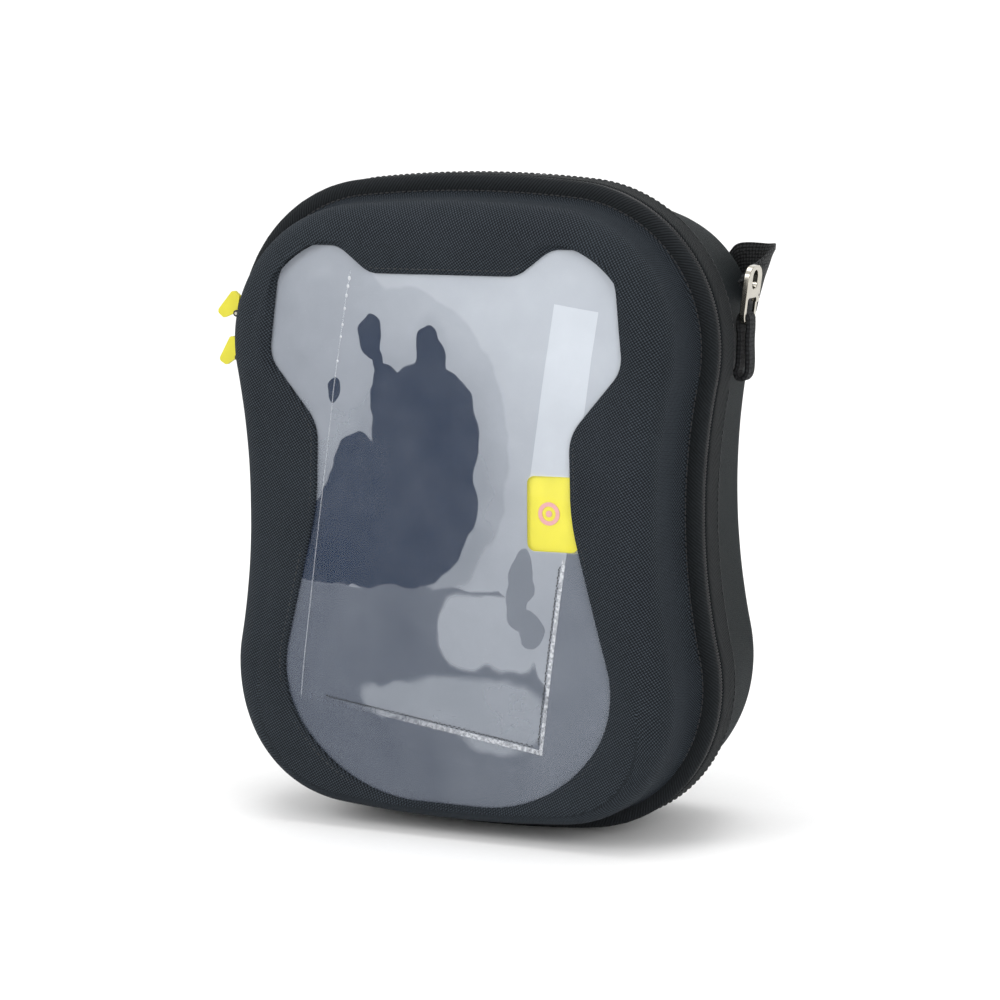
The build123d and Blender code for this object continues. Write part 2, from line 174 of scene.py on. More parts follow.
def rounded_polygon(corners, steps=14):
    """A closed line through corners ((x, z), radius) with its corners rounded. Also gives the
    index of the middle of each corner."""
    points, middles = [], []
    count = len(corners)
    for i, (corner, radius) in enumerate(corners):
        here = np.array(corner)
        back = np.array(corners[i - 1][0]) - here
        ahead = np.array(corners[(i + 1) % count][0]) - here
        back /= np.linalg.norm(back)
        ahead /= np.linalg.norm(ahead)
        half = math.acos(np.clip(back @ ahead, -1, 1)) / 2
        reach = radius / math.tan(half)
        first, last = here + back * reach, here + ahead * reach
        centre = here + (back + ahead) / np.linalg.norm(back + ahead) * radius / math.sin(half)
        a0 = math.atan2(*(first - centre)[::-1])
        a1 = math.atan2(*(last - centre)[::-1])
        turn = (a1 - a0 + math.pi) % (2 * math.pi) - math.pi
        middles.append(len(points) + steps // 2)
        for k in range(steps + 1):
            angle = a0 + turn * k / steps
            points.append(centre + radius * np.array([math.cos(angle), math.sin(angle)]))
    return np.array(points), middles


def window_line():
    """The window's outline, anticlockwise from the right, and the indices of its corners."""
    right = WINDOW_CORNERS[::-1]
    left = [((-x, z), radius) for (x, z), radius in WINDOW_CORNERS]
    return rounded_polygon(right + left)


def closed_lengths(points):
    """Distance along a closed line at each of its points, with the whole length last."""
    steps = np.linalg.norm(np.roll(points, -1, 0) - points, axis=1)
    return np.concatenate([[0.0], np.cumsum(steps)])


def resample(points, at):
    """Points at given distances along a closed line."""
    lengths = closed_lengths(points)
    closed = np.vstack([points, points[:1]])
    at = np.mod(at, lengths[-1])
    return np.stack([np.interp(at, lengths, closed[:, k]) for k in range(points.shape[1])], 1)


def outward(points):
    """Outward normals of an anticlockwise closed line."""
    along = np.roll(points, -1, 0) - np.roll(points, 1, 0)
    normal = np.stack([along[:, 1], -along[:, 0]], 1)
    return normal / np.linalg.norm(normal, axis=1)[:, None]


def window_matched():
    """The window's outline with one point for each point of the case's outline, so that the
    two can be joined by rings. Corners of the window face fitting places of the case."""
    line, middles = window_line()
    lengths = closed_lengths(line)
    rim_line = outline(RIM, 27.0)[0]
    rim_lengths = closed_lengths(rim_line)
    # where each corner of the window looks, right side, as a direction from the case's middle
    partner = [(60.0, 15.0), (110.0, 66.0), (97.0, 162.0), (98.0, 205.0), (104.0, 243.0),
               (85.0, 281.0), (58.0, 297.0), (38.0, 298.0)]
    partner += [(-x, z) for x, z in partner[::-1]]
    rim_at = [rim_lengths[np.argmin(np.linalg.norm(rim_line - np.array(p), axis=1))] for p in partner]
    window_at = [lengths[m] for m in middles]
    whole_rim, whole_window = rim_lengths[-1], lengths[-1]
    pairs = sorted((r, w) for r, w in zip(np.unwrap(rim_at, period=whole_rim),
                                          np.unwrap(window_at, period=whole_window)))
    r, w = np.array(pairs).T
    r = np.concatenate([r - whole_rim, r, r + whole_rim])
    w = np.concatenate([w - whole_window, w, w + whole_window])
    return resample(line, np.interp(rim_lengths[:-1], r, w))


WINDOW = window_matched()
WINDOW_NORMAL = outward(WINDOW)


def window_grown(grow):
    """The matched window outline, moved outward by 'grow'."""
    return WINDOW + grow * WINDOW_NORMAL


def face_depth(z):
    """How far the crowned front face stands in front of the parting plane."""
    return FRONT_DEPTH - (z - CROWN_Z) ** 2 / (2 * CROWN_RADIUS)


def ripple(points, seed, sizes=((90.0, 1.0), (41.0, 0.5), (19.0, 0.25))):
    """A smooth random height from -1 to 1 at each point, from sine waves in fixed directions."""
    rng = np.random.default_rng(seed)
    total = np.zeros(len(points))
    for size, weight in sizes:
        for _ in range(3):
            way = rng.normal(size=points.shape[1])
            way /= np.linalg.norm(way)
            total += weight * np.sin(points @ way * 2 * math.pi / size + rng.uniform(0, 2 * math.pi)) / 3
    return total


# ---- meshes ----
def space(plan, y):
    """Points in space, mm, from points (x, z) and a Y position or one for each."""
    return np.stack([plan[:, 0], np.broadcast_to(y, len(plan)), plan[:, 1]], 1)


def on_face(plan, fall):
    """Points in space that lie 'fall' behind the crowned front face."""
    return space(plan, fall - face_depth(plan[:, 1]))


def mesh_object(name, vertices, faces, material, corners_uv=None, sharp=50.0):
    """A smooth mesh object from points in mm, faces and a texture place for each face corner."""
    if corners_uv is None:
        corners_uv = [(0.0, 0.0)] * sum(len(face) for face in faces)
    mesh = bpy.data.meshes.new(name)
    mesh.from_pydata((np.asarray(vertices) * MM).tolist(), [], faces)
    layer = mesh.uv_layers.new(name="cloth")
    layer.data.foreach_set("uv", np.asarray(corners_uv, np.float32).ravel())
    mesh.polygons.foreach_set("use_smooth", [True] * len(mesh.polygons))
    shaped = bmesh.new()
    shaped.from_mesh(mesh)
    bmesh.ops.recalc_face_normals(shaped, faces=shaped.faces)
    shaped.to_mesh(mesh)
    shaped.free()
    mesh.set_sharp_from_angle(angle=math.radians(sharp))
    mesh.materials.append(material)
    return add_object(name, mesh)


def grid(name, rows, uv_rows, material, loop_rows=False, cap=False, sharp=50.0):
    """A mesh from closed rows of points. loop_rows joins the last row to the first, and cap
    closes both. A row of texture places has one more entry than its row of points."""
    count = len(rows[0])
    faces, corners = [], []
    pairs = [(i, i + 1) for i in range(len(rows) - 1)]
    if loop_rows:
        pairs.append((len(rows) - 1, 0))
    for a, b in pairs:
        for j in range(count):
            k = (j + 1) % count
            faces.append((a * count + j, a * count + k, b * count + k, b * count + j))
            corners += [uv_rows[a][j], uv_rows[a][j + 1], uv_rows[b][j + 1], uv_rows[b][j]]
    if cap:
        for row in (0, len(rows) - 1):
            faces.append(tuple(row * count + j for j in range(count)))
            corners += [uv_rows[row][j] for j in range(count)]
    return mesh_object(name, np.concatenate(rows), faces, material, corners, sharp)


def add_rod(vertices, faces, rings):
    """Adds a closed rod, given as rings of points, to a mesh's vertices and faces."""
    base, sides = len(vertices), len(rings[0])
    last = base + (len(rings) - 1) * sides
    vertices += [point for ring in rings for point in ring]
    for first in range(base, last, sides):
        for s in range(sides):
            t = (s + 1) % sides
            faces.append((first + s, first + t, first + sides + t, first + sides + s))
    faces.append(tuple(range(base, base + sides)))
    faces.append(tuple(range(last, last + sides)))


def flat_uv(plan):
    """Texture places that follow x and z."""
    return np.vstack([plan, plan[:1]])


def flat_uvs(rows):
    return [flat_uv(row[:, [0, 2]]) for row in rows]


def hand_over(piece, body, slot, *nodes):
    """Puts a piece under its body and hides the CAD nodes that it stands for. The slot argument is not used.
    """
    if nodes:
        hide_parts(*nodes)
    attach(piece, body)


def by_hinge(plan):
    """Whether points (x, z) lie beside the cloth hinge, where there is no zip."""
    return (np.abs(plan[..., 0]) < ZIP_END_HALF) & (plan[..., 1] < ZIP_END_Z)


def stitch_run(name, places, tops, length=2.5, pitch=3.3, radius=0.3, rise=0.12):
    """Stitches along a line of points, as slightly sunk rods with tapered ends. tops are the
    directions in which the stitches stand up from the cloth."""
    lengths = np.concatenate([[0.0], np.cumsum(np.linalg.norm(np.diff(places, axis=0), axis=1))])

    def sample(values, at):
        return np.array([np.interp(at, lengths, values[:, k]) for k in range(3)])

    vertices, faces = [], []
    turns = 2 * math.pi * np.arange(6) / 6
    for at in np.arange(pitch, lengths[-1] - pitch, pitch):
        along = sample(places, at + 0.5) - sample(places, at - 0.5)
        along /= np.linalg.norm(along)
        top = sample(tops, at)
        top -= along * (along @ top)
        top /= np.linalg.norm(top)
        across = np.cross(along, top)
        rings = []
        for share, size in ((-0.5, 0.25), (-0.36, 0.8), (0.0, 1.0), (0.36, 0.8), (0.5, 0.25)):
            middle = sample(places, at) + along * share * length + top * (rise - 0.35 * (1 - size))
            rings.append([middle + radius * size * (math.cos(turn) * across + math.sin(turn) * top)
                          for turn in turns])
        add_rod(vertices, faces, rings)
    return mesh_object(name, vertices, faces, THREAD, sharp=80.0)


# ---- materials ----
class Value:
    """A number worked out by shader nodes. Sums and products of values add nodes."""

    def __init__(self, look, socket):
        self.look = look
        self.socket = socket

    def to(self, operation, *others, clamp=False):
        """The result of a math node with this value as its first input."""
        inputs = enumerate((self, *others))
        made = self.look.node("ShaderNodeMath", inputs, operation=operation, use_clamp=clamp)
        return Value(self.look, made.outputs[0])

    def __add__(self, other):
        return self.to("ADD", other)

    def __sub__(self, other):
        return self.to("SUBTRACT", other)

    def __rsub__(self, other):
        return self * -1.0 + other

    def __mul__(self, other):
        return self.to("MULTIPLY", other)

    def __truediv__(self, other):
        return self.to("DIVIDE", other)

    def __pow__(self, power):
        return self.to("POWER", power)

    def between(self, low, high):
        """0 below low, 1 above high, smooth in between."""
        inputs = {"Value": self, "From Min": low, "From Max": high}
        made = self.look.node("ShaderNodeMapRange", inputs, interpolation_type="SMOOTHSTEP")
        return Value(self.look, made.outputs["Result"])

    def hump(self):
        """One hump of a sine wave, 0 to 1, in each whole step of the value."""
        return (self.to("FRACT") * math.pi).to("SINE")


class Look:
    """A node material under construction."""

    def __init__(self, name):
        self.material = bpy.data.materials.new(name)
        self.material.use_nodes = True
        self.tree = self.material.node_tree
        self.shader = self.tree.nodes["Principled BSDF"]

    def node(self, kind, inputs=(), **values):
        """A new node with some of its inputs, by name or number, and its properties set."""
        made = self.tree.nodes.new(kind)
        for key, value in values.items():
            setattr(made, key, value)
        for key, value in dict(inputs).items():
            self.put(made.inputs[key], value)
        return made

    def put(self, target, value):
        """Links a value or a socket to an input, or sets the input to a constant."""
        if isinstance(value, Value):
            value = value.socket
        if isinstance(value, bpy.types.NodeSocket):
            self.tree.links.new(value, target)
        else:
            target.default_value = value

    def vector(self, operation, *inputs):
        """The output sockets of a vector math node."""
        return self.node("ShaderNodeVectorMath", enumerate(inputs), operation=operation).outputs

    def axes(self, vector):
        """The three numbers of a vector."""
        split = self.node("ShaderNodeSeparateXYZ", {0: vector})
        return [Value(self, socket) for socket in split.outputs]

    def stretched(self, vector, scale, turn=(0.0, 0.0, 0.0)):
        """A vector turned and then scaled along its axes."""
        inputs = {"Vector": vector, "Rotation": turn, "Scale": scale}
        return self.node("ShaderNodeMapping", inputs).outputs["Vector"]

    def mix(self, share, a, b):
        """A blend of two colours."""
        made = self.node("ShaderNodeMix", {"Factor": share}, data_type="RGBA")
        colours = [socket for socket in made.inputs if socket.type == "RGBA"]
        for socket, colour in zip(colours, (a, b)):
            socket.default_value = (*colour, 1.0)
        return [socket for socket in made.outputs if socket.type == "RGBA"][0]

    def noise(self, vector, scale, detail=3.0, rough=0.55, output="Fac"):
        inputs = {"Vector": vector, "Scale": scale, "Detail": detail, "Roughness": rough}
        return Value(self, self.node("ShaderNodeTexNoise", inputs).outputs[output])

    def place(self):
        """The place on the object, in metres."""
        return self.node("ShaderNodeTexCoord").outputs["Object"]

    def cloth_uv(self):
        """The two texture coordinates along the cloth, in mm."""
        return self.axes(self.node("ShaderNodeUVMap", uv_map="cloth").outputs["UV"])[:2]

    def bump(self, height, strength, distance):
        inputs = {"Height": height, "Strength": strength, "Distance": distance * MM}
        return self.node("ShaderNodeBump", inputs).outputs["Normal"]

    def finish(self, **values):
        for key, value in values.items():
            self.put(self.shader.inputs[key.replace("_", " ")], value)
        return self.material


def weave(u, v, pitch_u, pitch_v):
    """Height of a plain weave, 0 in the gaps to 1 on the threads."""
    across, along = u / pitch_u, v / pitch_v
    bows = [across.hump(), along.hump()]
    over = [bows[i] * (bows[1 - i] * 0.55 + 0.45) for i in (0, 1)]
    other = (across.to("FLOOR") + along.to("FLOOR")).to("FLOORED_MODULO", 2.0)
    return over[0] + other * (over[1] - over[0])


def darker(colour, share):
    return tuple(c * share for c in colour)


def cloth_look(name, dark, light, pitch, strength=0.8, depth=0.35, rough=0.8, gloss=0.12):
    """Woven cloth with a plain weave on the bias and slight slubs."""
    look = Look(name)
    place = look.place()
    u, v = look.cloth_uv()
    drift = (look.noise(place, 60.0) - 0.5) * 0.9
    threads = weave((u + v * 0.62) * 0.85 + drift, (v - u * 0.62) * 0.85 + drift, pitch, pitch)
    slub = look.noise(place, 900.0, 2.0)
    patch = look.noise(place, 22.0, 4.0)
    shade = threads ** 1.7 * (slub * 1.2 + 0.5) + (patch - 0.5) * 0.25
    return look.finish(
        Base_Color=look.mix(shade, dark, light),
        Roughness=slub * 0.2 + (rough - 0.1),
        Normal=look.bump(threads + slub * 0.35, strength, depth),
        Sheen_Weight=0.02, Sheen_Roughness=0.45, Sheen_Tint=(0.55, 0.7, 0.9, 1.0), Specular_IOR_Level=gloss)


def twill_look(name, dark, light, rib=1.75, slant=0.75, fold_at=None):
    """Twill tape with slanting ribs. With fold_at the slant turns back there, as herringbone."""
    look = Look(name)
    u, v = look.cloth_uv()
    across = v if fold_at is None else (v - fold_at).to("ABSOLUTE")
    ribs = ((across * slant + u) / rib).hump()
    height = ribs ** 0.8 * ((v / 0.55).hump() * 0.25 + 0.75)
    slub = look.noise(look.place(), 700.0, 2.0)
    return look.finish(
        Base_Color=look.mix(height * (slub * 0.8 + 0.5), dark, light),
        Roughness=slub * 0.15 + 0.68,
        Normal=look.bump(height + slub * 0.2, 0.9, 0.4),
        Sheen_Weight=0.02, Sheen_Roughness=0.5, Specular_IOR_Level=0.12)


def webbing_look(name, dark, light, pitch=(2.1, 1.7)):
    """Coarse basket-woven webbing."""
    look = Look(name)
    u, v = look.cloth_uv()
    place = look.place()
    drift = (look.noise(place, 80.0) - 0.5) * 1.2
    threads = weave(u + drift, v, *pitch)
    strands = ((u + v) * 9.0).to("SINE")
    slub = look.noise(place, 1100.0, 2.0)
    return look.finish(
        Base_Color=look.mix(threads * (slub * 0.9 + 0.45), dark, light),
        Roughness=slub * 0.2 + 0.6,
        Normal=look.bump(threads + strands * 0.06, 1.0, 0.8),
        Sheen_Weight=0.02, Sheen_Roughness=0.4, Specular_IOR_Level=0.15)


def moulded_look(name, colour, rough, strength=0.25):
    """Moulded plastic, rubber or thread with a fine grain and faint handling marks."""
    look = Look(name)
    place = look.place()
    fine = look.noise(place, 1400.0, 2.0)
    worn = look.noise(place, 120.0, 4.0)
    lighter = tuple(min(1.0, c * 1.12 + 0.012) for c in colour)
    return look.finish(
        Base_Color=look.mix(worn, darker(colour, 0.86), lighter),
        Roughness=worn * 0.2 + (rough - 0.1),
        Normal=look.bump(fine, strength, 0.08))


def metal_look(name, colour, rough, metallic, scratch=0.12):
    """Plated or enamelled metal with fine drawn scratches."""
    look = Look(name)
    place = look.place()
    lines = look.noise(look.stretched(place, (2500.0, 2500.0, 160.0)), 1.0, 3.0)
    smudge = look.noise(place, 180.0, 3.0)
    return look.finish(
        Base_Color=look.mix(smudge, darker(colour, 0.8), colour),
        Metallic=metallic,
        Roughness=lines * scratch + rough,
        Normal=look.bump(lines, 0.1, 0.03))


# where the window's painted glare has sharp-edged gaps, painted dark as a reflection, as ellipses: middle x,
# z and half sizes, mm
DARK_REFLECTION_PATCHES = [
    ((-27.0, 158.0), (42.0, 36.0)), ((-8.0, 196.0), (29.0, 40.0)), ((-6.0, 236.0), (8.2, 17.5)),
    ((-31.0, 221.0), (8.0, 13.0)), ((-38.2, 247.6), (6.4, 11.4)), ((-34.6, 236.0), (3.0, 8.0)),
    ((-58.9, 219.5), (4.2, 7.2)), ((-66.0, 140.0), (20.0, 24.0)), ((-46.0, 183.0), (13.0, 17.0)),
    ((2.0, 172.0), (17.0, 28.0)),
]
# a smaller dark patch, where the painted glare is held at a dim grey
DIM_PATCHES = [
    ((43.5, 133.0), (6.0, 14.0)), ((41.0, 120.0), (5.5, 12.0)), ((48.0, 108.0), (6.0, 9.5)),
]
# painted highlights in the film's lower part
PAINTED_HIGHLIGHT_PATCHES = [
    ((13.0, 104.0), (17.0, 20.0)), ((36.0, 104.0), (20.0, 19.0)), ((56.0, 112.0), (8.0, 34.0)),
    ((24.0, 112.0), (20.0, 12.5)),
]
# softer painted highlights in the film's lower part
SOFT_HIGHLIGHT_PATCHES = [
    ((30.0, 63.0), (26.0, 19.0)), ((2.0, 68.0), (26.0, 14.0)), ((-26.0, 68.0), (22.0, 9.0)),
]
# round the dark patches the painted glare is a little dimmer
HALO_PATCHES = [((-25.0, 193.0), (62.0, 78.0)), ((-78.0, 250.0), (44.0, 66.0))]
# a box on the pocket's plane, at its upper right, where the painted glare is brighter
LIGHTER_BOX = ((55.5, 64.0), (11.5, 46.0))


def nearest_ellipse(look, place, ellipses):
    """A field that is below 1 inside any of the ellipses."""
    field = None
    for (x, z), (across, up) in ellipses:
        away = look.vector("SUBTRACT", place, (x * MM, 0.0, z * MM))[0]
        scaled = look.vector("MULTIPLY", away, (1 / (across * MM), 0.0, 1 / (up * MM)))[0]
        here = Value(look, look.vector("LENGTH", scaled)["Value"])
        field = here if field is None else field.to("SMOOTH_MIN", here, 0.22)
    return field


def box_field(look, place, centre, half, rounding=0.2):
    """Above 0 outside a rounded box round a point of the x-z plane, in m."""
    away = look.vector("SUBTRACT", place, (centre[0] * MM, 0.0, centre[1] * MM))[0]
    x, z = look.axes(look.vector("ABSOLUTE", away)[0])[::2]
    past = [(value - (extent - rounding) * MM).to("MAXIMUM", 0.0) for value, extent in zip((x, z), half)]
    return (past[0] ** 2.0 + past[1] ** 2.0).to("SQRT") - rounding * MM


def pocket_plane(look, place):
    """The place on the tilted pocket's own axes, as a vector, in m."""
    centre = (POCKET_CENTRE[0] * MM, 0.0, POCKET_CENTRE[1] * MM)
    inputs = {"Vector": look.vector("SUBTRACT", place, centre)[0], "Angle": POCKET_TILT}
    return look.node("ShaderNodeVectorRotate", inputs, rotation_type="Y_AXIS").outputs[0]


def film_look(name):
    """The clear window film: a painted whitish glare, which is a painted reflection, with sharp-edged gaps
    of painted dark reflection, fine scratches and dust.
    """
    look = Look(name)
    raw = look.place()
    # the edges of the glare wander with the film's waves
    wander = look.vector("SUBTRACT", look.noise(raw, 62.0, 1.5, 0.5, "Color"), (0.5, 0.5, 0.5))[0]
    place = look.vector("MULTIPLY_ADD", wander, (0.009, 0.0, 0.009), raw)[0]
    x, z = (axis * (1 / MM) for axis in look.axes(place)[::2])
    on_pocket = pocket_plane(look, raw)
    # the upper part, above a line that drops on the right, and the shapes in the painted glare
    lowered = (x.to("MINIMUM", 64.0) - 32.0).to("MAXIMUM", 0.0) * 0.9
    upper = (z - x * 0.02 + lowered).between(124.5, 126.0)
    glare = nearest_ellipse(look, place, DARK_REFLECTION_PATCHES).between(0.985, 1.015).to("MAXIMUM", 1.0 - upper)
    bright = nearest_ellipse(look, place, DIM_PATCHES).between(0.97, 1.03)
    near_patch = nearest_ellipse(look, raw, DARK_REFLECTION_PATCHES[:3]).between(1.02, 1.5)
    pale = 1.0 - nearest_ellipse(look, place, PAINTED_HIGHLIGHT_PATCHES).between(0.9, 1.06)
    soft = 1.0 - nearest_ellipse(look, place, SOFT_HIGHLIGHT_PATCHES).between(0.85, 1.12)
    halo = nearest_ellipse(look, place, HALO_PATCHES).between(0.985, 1.02)
    lighter_box = box_field(look, on_pocket, *LIGHTER_BOX).to("LESS_THAN", 0.0)
    cloud = look.noise(place, 14.0, 3.0)
    # the painted glare grows brighter towards the top right
    side = (x * 0.8 + z).between(150.0, 330.0)
    # how bright the painted glare on the film is
    above = side * 0.25 + near_patch * 0.05 + halo * 0.08 + cloud * 0.23 + lighter_box * 0.17 + 0.155
    below = cloud * 0.12 + pale * 0.27 + soft * (1.0 - pale) * 0.2 + x.between(-70.0, 60.0) * 0.04 + 0.04
    painted_glare_and_dust = below + upper * (above - below)
    painted_glare_and_dust = (painted_glare_and_dust * bright + (1.0 - bright) * 0.2) * glare
    # beside the pocket, under the tab, the painted glare is duller
    beside = look.axes(on_pocket)[0].to("GREATER_THAN", POCKET_SIZE[0] / 2 * MM) * z.to("LESS_THAN", 150.0)
    painted_glare_and_dust = painted_glare_and_dust + beside * (0.17 - painted_glare_and_dust)
    # scratches and dust
    dust = look.noise(raw, 1500.0, 3.0, 0.6).between(0.62, 0.8)
    streaks = look.stretched(raw, (60.0, 1.0, 1100.0), (0.0, 0.6, 0.0))
    lines = look.noise(streaks, 1.0, 4.0, 0.7).between(0.64, 0.76)
    haze = look.noise(place, 34.0, 5.0, 0.65) ** 2.0
    painted_glare_and_dust = painted_glare_and_dust.to("ADD", dust * 0.05 + lines * 0.06 + haze * 0.1, clamp=True)
    # the brighter the painted glare, the more the film covers; its two faces each take a share of that
    cover = painted_glare_and_dust * 0.3 + 0.62
    layer = 1.0 - (1.0 - cover).to("SQRT")
    over_tab = (TAB_SIZE[0] / 2 - 0.7, TAB_SIZE[1] / 2 - 0.6)
    off_tab = box_field(look, raw, TAB_CENTRE, over_tab, 4.0).to("GREATER_THAN", 0.0)
    # the colour is the painted glare over a painted dark blue that stands in for the shaded inside of the
    # case
    tinted = look.vector("MULTIPLY_ADD", (0.965, 1.0, 1.02), painted_glare_and_dust * 0.66 / cover, (0.030, 0.048, 0.092))[0]
    return look.finish(
        Base_Color=tinted,
        Alpha=layer * (off_tab * 0.96 + 0.04),
        Roughness=dust * 0.2 + 0.18,
        Normal=look.bump(look.noise(raw, 26.0, 2.0), 0.12, 1.0),
        Specular_IOR_Level=0.3)


def clear_look(name, colour, alpha, rough=0.12, coat=0.4):
    """Thin clear film, slightly cloudy."""
    look = Look(name)
    cloud = look.noise(look.place(), 90.0, 4.0)
    return look.finish(
        Base_Color=look.mix(cloud, darker(colour, 0.8), colour),
        Alpha=cloud * (alpha * 0.5) + alpha * 0.75,
        Roughness=cloud * 0.1 + rough,
        Normal=look.bump(cloud, 0.2, 0.3),
        Coat_Weight=coat, Coat_Roughness=0.05)


def weld_look(name, colour):
    """A beaded weld line that fades out towards the left."""
    look = Look(name)
    place = look.place()
    beads = look.noise(place, 520.0, 2.0).between(0.38, 0.66)
    along = (look.axes(place)[0] * (1 / MM)).between(-60.0, 25.0)
    return look.finish(
        Base_Color=look.mix(beads, darker(colour, 0.7), colour),
        Alpha=along * (beads * 0.25 + 0.32),
        Roughness=beads * 0.1 + 0.3,
        Normal=look.bump(beads, 0.4, 0.2))


FRONT_CLOTH = cloth_look("front_cloth", (0.002, 0.003, 0.004), (0.040, 0.049, 0.060), 1.2, 0.9, 0.4)
REAR_CLOTH = cloth_look("rear_cloth", (0.003, 0.004, 0.004), (0.010, 0.0135, 0.013), 0.85, 0.5, 0.2, 0.75)
LINING = cloth_look("lining", (0.012, 0.018, 0.030), (0.020, 0.029, 0.046), 1.1, 0.08, 0.05, gloss=0.0)
FRONT_TAPE = twill_look("front_tape", (0.0015, 0.002, 0.0025), (0.017, 0.020, 0.023), slant=0.8)
REAR_TAPE = twill_look("rear_tape", (0.0015, 0.002, 0.0025), (0.013, 0.0155, 0.017), 2.1, 1.2, fold_at=9.0)
WEBBING = webbing_look("webbing", (0.0015, 0.0015, 0.002), (0.026, 0.028, 0.030))
THREAD = moulded_look("thread", (0.010, 0.011, 0.013), 0.6)
COIL = moulded_look("zip_coil", (0.012, 0.012, 0.014), 0.35)
ZIP_TAPE = twill_look("zip_tape", (0.0015, 0.0015, 0.002), (0.012, 0.0125, 0.014), rib=1.3, slant=0.6)
DARK_METAL = metal_look("dark_metal", (0.03, 0.03, 0.033), 0.32, 0.6)
CHROME = metal_look("chrome", (0.56, 0.53, 0.46), 0.1, 1.0, 0.14)
PLASTIC = moulded_look("black_plastic", (0.014, 0.014, 0.016), 0.4)
YELLOW = moulded_look("yellow_tab", (0.66, 0.60, 0.02), 0.5, 0.15)
PINK = moulded_look("pink_print", (0.62, 0.30, 0.30), 0.5)
FILM = film_look("window_film")
POCKET_FILM = clear_look("pocket_film", (0.42, 0.48, 0.58), 0.03, coat=0.0)
WELD = weld_look("weld", (0.70, 0.72, 0.76))
# pale see-through colour that paints highlights on the weld's dots
SPOT_HIGHLIGHT_PAINT = clear_look("weld_spot", (0.78, 0.80, 0.84), 0.5, 0.2)
CREASE = clear_look("crease", (0.72, 0.75, 0.80), 0.22, 0.2)


# ---- front shell ----
def shrunk(inset):
    """Points of the rim outline drawn inside itself. Past the flange the inset shrinks towards
    the bottom, where the wall and its shoulder are narrower."""
    base, normal = outline(RIM)
    ramp = np.clip((base[:, 1] - 2.0) / 78.0, 0.0, 1.0)
    ramp = ramp * ramp * (3 - 2 * ramp)
    share = 0.36 + 0.64 * ramp
    depth = np.minimum(inset, FLANGE) + np.maximum(0.0, inset - FLANGE) * share
    return base - depth[:, None] * normal


def front_rows():
    """Rows of points and texture places round the front shell's wall, outside then inside."""
    rows, uvs = [], []

    def add_row(row, laid_flat=None):
        """laid_flat is how far inside the rim the row would lie if the cloth were laid flat."""
        rows.append(row)
        uvs.append(flat_uv(row[:, [0, 2]] if laid_flat is None else outline(RIM, laid_flat)[0]))

    roll_inset, roll_width, roll_depth = 12.0, 15.5, 11.0
    wall = [(6.0, 4.5), (7.4, 5.0), (8.7, 5.5), (9.8, 6.3), (10.6, 7.6), (11.1, 9.5)]
    wall_inset, wall_from = wall[-1]
    for inset, depth in wall:
        laid_flat = roll_inset - 24.0 - (wall_from - depth) + (inset - wall_inset) * 0.3
        add_row(space(shrunk(inset), -depth), laid_flat)
    for share in (0.25, 0.5, 0.75, 1.0):
        plan = shrunk(wall_inset + (roll_inset - wall_inset) * share)
        top = face_depth(plan[:, 1]) - roll_depth
        add_row(space(plan, -(wall_from + (top - wall_from) * share)), roll_inset - 24.0 * (1 - share) - 3.0)
    for step in range(1, 11):
        angle = math.pi / 2 * step / 10
        plan = shrunk(roll_inset + roll_width * (1 - math.cos(angle)))
        laid_flat = roll_inset - 3.0 + (roll_width + 3.0) * (step / 10) ** 1.15
        add_row(on_face(plan, roll_depth * (1 - math.sin(angle))), laid_flat)
    shoulder = shrunk(roll_inset + roll_width)
    inner_edge = window_grown(1.7)
    face_steps = 16
    for step in range(1, face_steps + 1):
        share = step / face_steps
        plan = shoulder + (inner_edge - shoulder) * share
        add_row(on_face(plan, 1.3 * share**2 - 0.7 * math.sin(math.pi * share)))
    for grow, fall in ((1.0, 1.45), (0.4, 1.9), (0.05, 2.6), (0.0, 3.2), (1.9, SKIN)):
        add_row(on_face(window_grown(grow), fall))
    for share in (0.66, 0.33, 0.0):
        add_row(on_face(shoulder + (inner_edge - shoulder) * share, SKIN))
    for step in range(5, -1, -1):
        angle = math.pi / 2 * step / 5
        plan = shrunk(WALL_INSET + SKIN + INNER_ROUND * (1 - math.cos(angle)))
        add_row(on_face(plan, SKIN + INNER_ROUND * (1 - math.sin(angle))))
    for inset, depth in ((14.3, 9.0), (14.2, 1.6), (6.0, 1.6)):
        add_row(space(shrunk(inset), -depth))
    return rows, uvs


def make_front_shell():
    rows, uvs = front_rows()
    for row in rows[4:40]:
        row[:, 1] += 0.22 * ripple(row, 3)
    shell = grid("front_shell_cloth", rows, uvs, FRONT_CLOTH, loop_rows=True)
    hand_over(shell, "front_half", "front_cloth", "front_shell")


# the bindings' cross-sections: inset from the rim and Y, mm
FRONT_BINDING = [(7.7, -4.7), (7.5, -5.6), (5.2, -6.1), (2.8, -6.0), (1.0, -5.3), (0.15, -4.2), (0.1, -2.6),
                 (0.7, -1.6), (3.3, -1.5), (3.3, -4.4)]
REAR_BINDING = [(3.3, 1.55), (0.8, 1.6), (0.1, 2.4), (0.0, 5.0), (0.0, 8.0), (0.0, 11.0), (0.0, 14.0),
                (0.1, 17.0), (0.7, 18.0), (1.3, 17.6), (1.25, 3.0), (3.3, 2.9)]


def make_binding(name, profile, material, body, node, puff_seed):
    """A binding tape folded round a rim. profile lists (inset, y) across the tape."""
    rows, uvs = [], []
    across = 0.0
    lengths = closed_lengths(outline(RIM)[0])
    for i, (inset, y) in enumerate(profile):
        if i:
            across += math.hypot(inset - profile[i - 1][0], y - profile[i - 1][1])
        plan, normal = outline(RIM, inset)
        row = space(plan, y)
        pucker = 0.12 * ripple(row, puff_seed, ((23.0, 0.6), (9.0, 0.5), (3.7, 0.4))) - 0.12
        rows.append(row + space(normal, 0.0) * pucker[:, None])
        uvs.append(np.stack([lengths, np.full(len(lengths), across)], 1))
    tape = grid(name, rows, uvs, material, loop_rows=True)
    hand_over(tape, body, "binding_tape", node)


